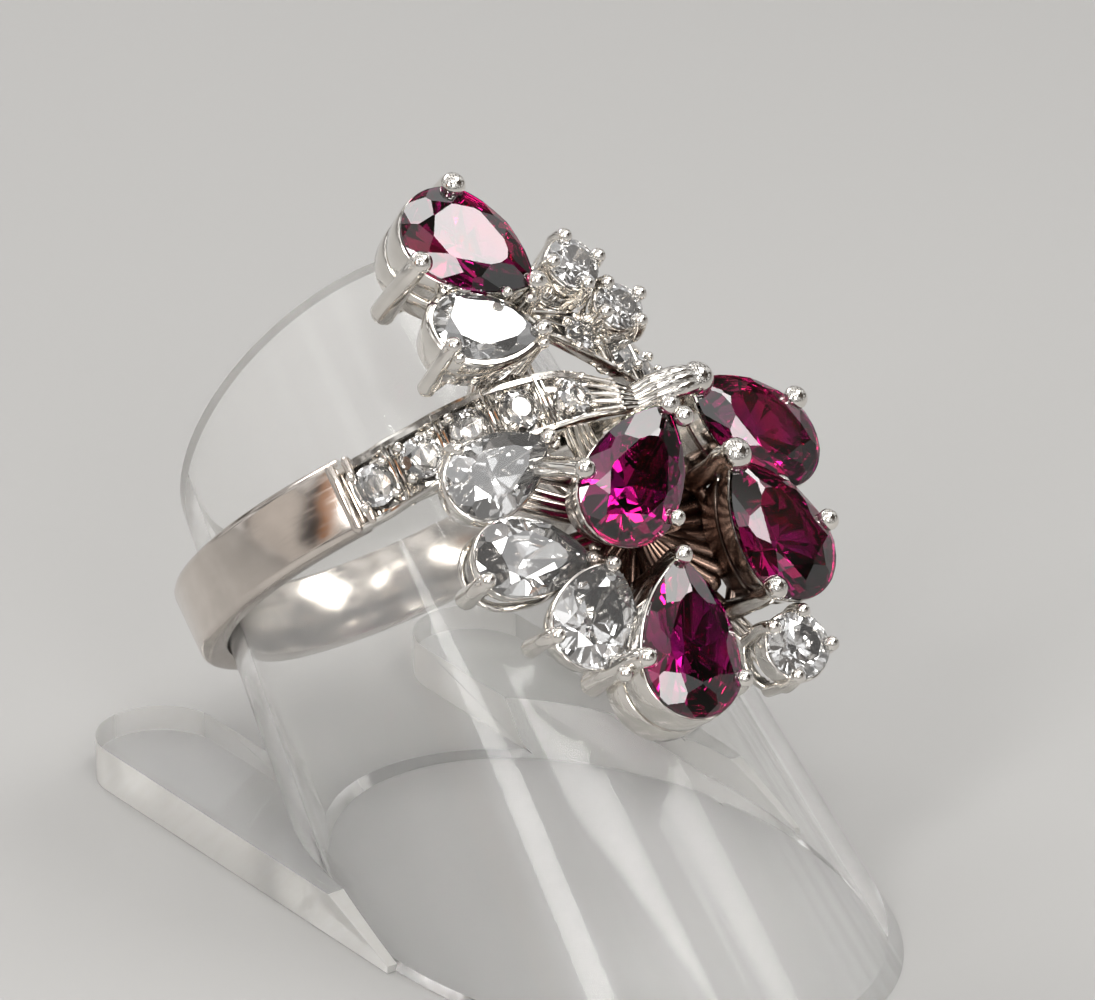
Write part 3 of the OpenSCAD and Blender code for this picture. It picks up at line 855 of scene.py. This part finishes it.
def brilliant(length, width, table=TABLE):
    """A cut stone: an extruded outline cut by the planes of its facets."""
    points = outline(length, width, 0, 64)
    crown, deep = CROWN * width, PAVILION * width
    is_pear = length - width > 0.01
    shift, point_x = (-0.02 * length, -0.08 * length) if is_pear else (0.0, 0.0)
    g = GIRDLE / 2
    shape = prism(points, -deep, crown)

    def facet(turn, steep, up):
        """Cuts one facet, above the girdle or below it."""
        c, s = heading(turn)
        far = max(x * c + y * s for x, y in points)
        if up > 0:
            start, height = far, g
            slope = (crown - g) / max(0.05, far - table * far - shift * c)
            if turn % 45 == STAR_TURN:
                start, height = (table - 0.04) * far + shift * c, crown
        else:
            start, height, slope = far, -g, (deep - g) / (far - point_x * c)
        cut_off(shape, Vector((start * c, start * s, height)), (slope * steep * c, slope * steep * s, up))

    cuts = [(45 * k + turn, steep, up) for k in range(8)
            for up, facets in ((1, CROWN_FACETS), (-1, PAVILION_FACETS)) for turn, steep in facets]
    for cut in cuts:
        facet(*cut)
    bmesh.ops.dissolve_degenerate(shape, dist=1e-4, edges=shape.edges[:])
    return shape


def on_stage(name, data, seen=True):
    """Puts something beside the object, on the stage."""
    item = bpy.data.objects.new(name, data)
    item.visible_camera = seen
    bpy.context.scene.collection.objects.link(item)
    return item


def sheet(name, half_width, half_height, place, colour):
    """A flat sheet of paper."""
    shape = bmesh.new()
    bmesh.ops.create_grid(shape, x_segments=2, y_segments=2, size=1)
    shape.transform(place @ Matrix.Diagonal((half_width, half_height, 1, 1)))
    mesh = bpy.data.meshes.new(name)
    shape.to_mesh(mesh)
    shape.free()
    mesh.materials.append(pale_floor(f"{name}_paper", colour))
    return mesh


def room_light(strength):
    """Even light from all round, brighter above, with pale and dark patches for the metal to mirror."""
    room = bpy.data.worlds.new("room")
    room.use_nodes = True
    light = Graph(room.node_tree)
    way = light.value("ShaderNodeTexCoord", {}, {}, "Generated")
    bright = light.between(light.parts(way)[2], 0.45, 0.9, 1.0, 1.7, "SMOOTHSTEP")
    towards = light.vector("DOT_PRODUCT", way, Vector((0.62, -0.56, 0.55)).normalized(), "Value")
    dark = light.between(towards, 0.88, 0.97, 0.0, 1.0, "SMOOTHSTEP")
    clutter = light.value("ShaderNodeTexNoise", {}, {"Vector": way, "Scale": 7.5, "Detail": 2.0})
    patches = light.between(clutter, 0.43, 0.57, 0.10, 2.15, "SMOOTHSTEP")
    colour = light.mixed(light.between(clutter, 0.43, 0.53, 0.0, 1.0),
                         (0.98, 0.84, 0.74, 1), (0.98, 0.98, 0.98, 1))
    colour = light.mixed(dark, colour, (0.15, 0.125, 0.11, 1))
    background = room.node_tree.nodes["Background"]
    light.feed(background.inputs["Color"], colour)
    light.feed(background.inputs["Strength"], strength * bright * patches)
    return room


def softbox(name, way, across, distance, size, power):
    """A lamp that faces the ring from one side and isn't seen itself."""
    lamp = bpy.data.lights.new(name, "AREA")
    lamp.shape = "RECTANGLE"
    lamp.size, lamp.size_y = size
    lamp.energy = power
    lamp.color = LAMP_COLOUR
    direction = Vector(way).normalized()
    side = (Vector(across) - direction * direction.dot(Vector(across))).normalized()
    turn = Matrix((side, direction.cross(side), direction)).transposed().to_4x4()
    on_stage(name, lamp, False).matrix_world = Matrix.Translation(LAMP_CENTRE + direction * distance) @ turn


class RING_OT_stage(bpy.types.Operator):
    """Adds the floor, the softboxes, the camera and the cards that the band mirrors"""

    bl_idname = "ring.stage"
    bl_label = "Floor, lights and camera"

    def execute(self, context):
        scene = context.scene
        lights = scene.stage_lights
        scene.view_settings.view_transform = "Standard"
        under = Matrix.Translation((0, 0, -0.00004))
        on_stage("floor", sheet("floor", 1.5, 1.5, under, scene.ring_colours.floor))
        scene.world = room_light(lights.room)
        for name, way, across, distance, size, light, share in SOFTBOXES:
            softbox(name, way, across, distance, size, getattr(lights, light) * share)
        for number, (way, size, share) in enumerate(FACET_LAMPS, 1):
            softbox(f"facet_lamp_{number}", way, (1, 0.2, 0), 0.25, (size, size), lights.fill * share)

        lens = bpy.data.cameras.new("photo_camera")
        lens.lens = LENS
        lens.sensor_width = SENSOR
        lens.clip_start = 0.01
        lens.clip_end = 10
        up = RIGHTWARDS.cross(LOOKS)
        turn = Matrix((RIGHTWARDS, up, -LOOKS)).transposed().to_4x4()
        place = TO_PART.to_translation() - LOOKS * CAMERA_AWAY + RIGHTWARDS * CAMERA_RIGHT + up * CAMERA_UP
        camera = bpy.data.objects.new("photo_camera", lens)
        camera.matrix_world = Matrix.Translation(place * 0.001) @ turn
        scene.collection.objects.link(camera)
        scene.camera = camera

        for name, turn, half_width, away, tone in CARDS:
            spot = RING_PLACE @ on_turn(turn, 0, FINGER_R + 1.1)
            outward = RING_PLACE.to_3x3() @ on_turn(turn, 0, 1)
            sight = (spot - place).normalized()
            mirror = sight - 2 * sight.dot(outward) * outward
            stands = (Matrix.Translation((spot + mirror * away) * 0.001)
                      @ mirror.to_track_quat("Z", "Y").to_matrix().to_4x4())
            on_stage(name, sheet(name, half_width, CARD_HALF_HEIGHT, stands, tone), False)
        return {"FINISHED"}


class RING_OT_stand(bpy.types.Operator):
    """Adds the clear stand: a leaning hollow finger with two flat feet"""

    bl_idname = "ring.stand"
    bl_label = "Clear stand"

    def execute(self, context):
        lean = Matrix.Translation((0, 0, RING_HEIGHT)) @ Matrix.Rotation(math.radians(45), 4, "X")
        mouth = lean @ Vector((0, MOUTH_Y, 0))
        tilted = lean.to_3x3() @ Matrix.Rotation(math.radians(MOUTH_TILT), 3, "X")
        mouth_way = tilted @ Vector((0, 1, 0))

        def cone(inset, low, high, planes):
            """The finger, or its hollow, between two places along it, cut by planes."""
            radii = [(y, FINGER_R - STAND_GAP - STAND_TAPER * (y - TAPER_Y) - inset) for y in (low, high)]
            shape = skinned([[(r * c, y, r * s) for c, s in circle(160)] for y, r in radii])
            shape.transform(lean)
            for spot, normal in planes:
                cut_off(shape, spot, normal)
            return shape

        def foot(side):
            """A flat bar with a round back end and a sloping front end."""
            plan = [(FOOT_HALF * c, FOOT_BACK - FOOT_HALF + FOOT_HALF * s) for c, s in circle(64)[1:32]]
            plan += [(-FOOT_HALF, FOOT_FRONT), (FOOT_HALF, FOOT_FRONT)]
            shape = prism([(x + side * FOOT_APART, y) for x, y in plan], 0, FOOT_HIGH)
            cut_off(shape, (0, SLOPE_Y, FOOT_HIGH), SLOPE_WAY)
            return shape

        floor_cut, mouth_cut = ((0, 0, 0), (0, 0, -1)), (mouth, mouth_way)
        hollow = cone(STAND_WALL, -36, 16, ())
        whole = carved(cone(0, -34, 14, (floor_cut, mouth_cut)),
                       ((foot(-1), "UNION"), (foot(1), "UNION"), (hollow, "DIFFERENCE")))
        whole.normal_update()
        for face in whole.faces:
            middle, normal = face.calc_center_median(), face.normal
            on_rim = abs((middle - mouth).dot(mouth_way)) < 0.01
            on_side = middle.z < FOOT_HIGH - 0.01 and abs(normal.z) < 0.05
            on_slope = normal.y < -0.3 and normal.z > 0.9
            face.material_index = int(on_rim or on_side or on_slope)
        clear = the("clear_acrylic_stand", clear_acrylic)
        stand = finished("display_stand_clear", whole, clear, ["display_stand"],
                         STAND_PLACE, 30, EDGE_BEVEL)
        stand.data.materials.append(the("acrylic_cut_edges", cut_edges))
        return {"FINISHED"}


class RING_OT_band(bpy.types.Operator):
    """Adds the plain band, with a pair of raised bars where each shoulder starts"""

    bl_idname = "ring.band"
    bl_label = "Plain band"

    def execute(self, context):
        low, top = FINGER_R, FINGER_R + size_mm("band_thickness")
        half = ((low, 0.16), (low + 0.05, 0.04), (low + 0.16, 0), (top - 0.28, 0), (top - 0.12, 0.07),
                (top - 0.03, 0.20), (top, 0.34))
        section = both_sides(half, size_mm("band_width") / 2)
        turn = JOIN_TURN - LAP
        whole = spun(section, turn, 360 - 2 * turn, 150)
        for side in (-1, 1):
            for at, size, radius in RAISED_BARS:
                ends = [on_turn(side * at, y, radius) for y in RAISED_BAR_ENDS]
                joined(whole, rod(ends, [size] * 3, 16, 0.9))
        finished("plain_band", whole, band_gold(), ["ring_mount"])
        return {"FINISHED"}


class RING_OT_shoulders(bpy.types.Operator):
    """Adds the two stone-set shoulders that pass each other, with their rails, cells and fluted tips"""

    bl_idname = "ring.shoulders"
    bl_label = "Stone-set shoulders"

    def execute(self, context):
        for name, line, stones, closed_from, flute_start, count in SHOULDERS:
            whole = shoulder_plate(line, closed_from)
            joined(whole, cell_bars(line, stones))
            joined(whole, flutes(line, flute_start, count, 0.16))
            gold_piece(name, whole)
        return {"FINISHED"}


class RING_OT_gallery(bpy.types.Operator):
    """Adds the finger rail and the waisted posts that leave open windows under the shoulders"""

    bl_idname = "ring.gallery"
    bl_label = "Finger rail and posts"

    def execute(self, context):
        low, top = FINGER_R + 0.06, FINGER_R + 0.56
        half = ((low, 0.1), (low + 0.1, 0), (top - 0.14, 0), (top, 0.14))
        whole = spun(both_sides(half, RAIL_HALF), RAIL_START, RAIL_SWEEP, 110)
        for line in (NEAR_LINE, FAR_LINE):
            side = math.copysign(1, line[0][0])
            for step in range(POSTS):
                turn, y, radius, _ = at_line(line, side * (POST_START - POST_STEP * step))
                foot, head = FINGER_R + 0.36, radius - 0.55
                rings = []
                for share in (0, 0.12, 0.3, 0.5, 0.7, 0.88, 1):
                    across = 0.20 + 0.20 * (2 * share - 1) ** 4
                    deep = 1.12 + 0.12 * (2 * share - 1) ** 4
                    z = foot + (head - foot) * share
                    rings.append([(across * math.copysign(abs(c) ** 0.6, c),
                                   y * 0.5 + deep * math.copysign(abs(s) ** 0.6, s), z)
                                  for c, s in circle(16)])
                joined(whole, skinned(rings), Matrix.Rotation(math.radians(turn), 4, "Y"))
        gold_piece("finger_rail", whole)
        return {"FINISHED"}


class RING_OT_settings(bpy.types.Operator):
    """Adds the settings of the rubies and of the pear and round diamonds"""

    bl_idname = "ring.settings"
    bl_label = "Settings and claws"

    def execute(self, context):
        scale, stout = size_mm("claw_ball") / 0.94, size_mm("claw_stem") / 0.8
        for kind, name, rows in (("ruby", "ruby_setting", RUBIES), ("pear", "pear_diamond_setting", PEARS)):
            table = zip(rows, SETTING_WALLS[kind], SETTING_CLAWS[kind])
            for number, (row, walls, claws) in enumerate(table, 1):
                grown = [(angle, head * scale, stem * stout, splay) for angle, head, stem, splay in claws]
                whole = pear_setting(row, walls, grown, GIVES_WAY.get((kind, number), ()))
                for which, stone, x, y, z, size in EXTRA_BEADS:
                    if (which, stone) == (kind, number):
                        place = seat_of(row) @ Matrix.Translation((x, y, z))
                        joined(whole, ball(size * scale, 0.9, 16), place)
                gold_piece(f"{name}_{number}", whole)
        for number, (row, angles) in enumerate(zip(ROUNDS, ROUND_CLAWS), 1):
            gold_piece(f"round_diamond_setting_{number}", round_setting(row, angles, 0.62 * scale))
        return {"FINISHED"}


class RING_OT_arms(bpy.types.Operator):
    """Adds the arms that carry the settings, and the large claw on the third ruby's point"""

    bl_idname = "ring.arms"
    bl_label = "Arms and large claw"

    def execute(self, context):
        whole = bmesh.new()

        def arm(start, end, first, last, sag=0.3):
            """A bundle of three ribs that spread towards the setting."""
            start, end = Vector(start), Vector(end)
            middle = (start + end) / 2 - Vector((0, 0, sag))
            way = (end - start).normalized()
            side = way.cross(Vector((0, 0, 1))).normalized()
            for k in (-1, 0, 1):
                path = curve([start + side * k * first * 0.5, middle + side * k * first * 0.9,
                              end + side * k * last * 1.2], 8)
                joined(whole, rod(path, evenly([first * 0.55, first * 0.55, last * 0.55], len(path)), 12))

        for turn, y, radius, hub, first, last in RAIL_ARMS:
            arm(on_turn(turn, y, radius), hub, first, last)
        for row, hub, size in (
                [(r, LOW_HUB, 0.50) for r in RUBIES[1:]] + [(r, LOW_HUB, 0.45) for r in PEARS[1:]]
                + [(ROUNDS[2], LOW_HUB, 0.45), (RUBIES[0], HIGH_HUB, 0.5), (PEARS[0], HIGH_HUB, 0.45),
                   (ROUNDS[0], HIGH_HUB, 0.4), (ROUNDS[1], HIGH_HUB, 0.4)]):
            arm(hub, seat_of(row) @ Vector((0, 0, -row[8] - 0.1)), size, size * 0.9, 0.15)
        for k in range(FAN_RIBS):
            c, s = heading(FAN_START + FAN_STEP * k)
            tip = LOW_HUB + Vector((FAN_REACH * c, FAN_REACH * s, FAN_RISE))
            middle = LOW_HUB.lerp(tip, 0.5) - Vector((0, 0, 0.25))
            path = curve([LOW_HUB - Vector((0, 0, 0.2)), middle, tip], 6)
            joined(whole, rod(path, evenly([0.22, 0.30, 0.42], len(path)), 12))
        gold_piece("setting_arms", whole)

        head = seat_of(RUBIES[2]) @ Vector(LARGE_CLAW_HEAD)
        start = on_turn(*LARGE_CLAW_START)
        whole = bmesh.new()
        way = (head - start).normalized()
        across = way.cross(Vector((0, 0, 1))).normalized()
        rise = across.cross(way)
        for k in (-1, 0, 1):
            side = across * (0.34 * k)
            lift = rise * (0.10 if k == 0 else 0.0)
            path = curve([start + side * 0.9,
                          start.lerp(head, 0.35) + side * 1.1 + rise * 0.42 + lift,
                          start.lerp(head, 0.70) + side * 0.9 + rise * 0.46 + lift,
                          head + side * 0.5 + lift], 7)
            joined(whole, rod(path, evenly([0.26, 0.30, 0.34, 0.40], len(path)), 16))
        joined(whole, ball(LARGE_CLAW_BALL, 0.92, 28), Matrix.Translation(head))
        gold_piece("large_claw", whole)
        return {"FINISHED"}


class RING_OT_rubies(bpy.types.Operator):
    """Adds the five pear-cut rubies"""

    bl_idname = "ring.rubies"
    bl_label = "Rubies"

    def execute(self, context):
        material = the("ruby_cut", cut_ruby, context.scene.ring_colours.ruby)
        for number, row in enumerate(RUBIES, 1):
            shape = brilliant(row[6], row[7])
            shape.transform(seat_of(row))
            finished(f"ruby_{number}_cut", shape, material, [f"ruby_{number}"], smooth=0)
        return {"FINISHED"}


class RING_OT_diamonds(bpy.types.Operator):
    """Adds the pear-cut, round and shoulder diamonds"""

    bl_idname = "ring.diamonds"
    bl_label = "Diamonds"

    def execute(self, context):
        material = the("diamond_cut", cut_diamond)
        rows = [(f"pear_diamond_{n}", seat_of(r), r[6], r[7]) for n, r in enumerate(PEARS, 1)]
        rows += [(f"round_diamond_{n}", seat_of(r), r[6], r[7]) for n, r in enumerate(ROUNDS, 1)]
        rows += [(f"shoulder_diamond_{n}", turned(*r[:3]), r[3], r[3])
                 for n, r in enumerate(NEAR_STONES + FAR_STONES, 1)]
        for name, place, length, width in rows:
            usual = TABLE if width > SMALL_WIDTH else SMALL_TABLE
            shape = brilliant(length, width, WIDE_TABLES.get(name, usual))
            shape.transform(place)
            finished(f"{name}_cut", shape, material, [name], smooth=0)
        return {"FINISHED"}


class VIEW3D_PT_ruby_ring(bpy.types.Panel):
    """Lists the ring's sizes, colours and pieces"""

    bl_label = "Ruby Ring"
    bl_space_type = "VIEW_3D"
    bl_region_type = "UI"
    bl_category = "Ruby Ring"

    def draw(self, context):
        layout = self.layout
        for group in (context.scene.ring_sizes, context.scene.ring_colours, context.scene.stage_lights):
            for key in group.__annotations__:
                layout.prop(group, key)
        for operator in OPERATORS:
            layout.operator(operator.bl_idname)


OPERATORS = (
    RING_OT_stage, RING_OT_stand, RING_OT_band, RING_OT_shoulders, RING_OT_gallery,
    RING_OT_settings, RING_OT_arms, RING_OT_rubies, RING_OT_diamonds,
)
GROUPS = {"ring_sizes": RingSizes, "ring_colours": RingColours, "stage_lights": StageLights}


def register():
    for name, group in GROUPS.items():
        bpy.utils.register_class(group)
        setattr(bpy.types.Scene, name, bpy.props.PointerProperty(type=group))
    for operator in OPERATORS:
        bpy.utils.register_class(operator)
    bpy.utils.register_class(VIEW3D_PT_ruby_ring)


def unregister():
    bpy.utils.unregister_class(VIEW3D_PT_ruby_ring)
    for operator in reversed(OPERATORS):
        bpy.utils.unregister_class(operator)
    for name, group in GROUPS.items():
        delattr(bpy.types.Scene, name)
        bpy.utils.unregister_class(group)


def main():
    register()
    bpy.ops.ring.stage()
    bpy.ops.ring.stand()
    bpy.ops.ring.band()
    bpy.ops.ring.shoulders()
    bpy.ops.ring.gallery()
    bpy.ops.ring.settings()
    bpy.ops.ring.arms()
    bpy.ops.ring.rubies()
    bpy.ops.ring.diamonds()


if __name__ == "__main__":
    main()
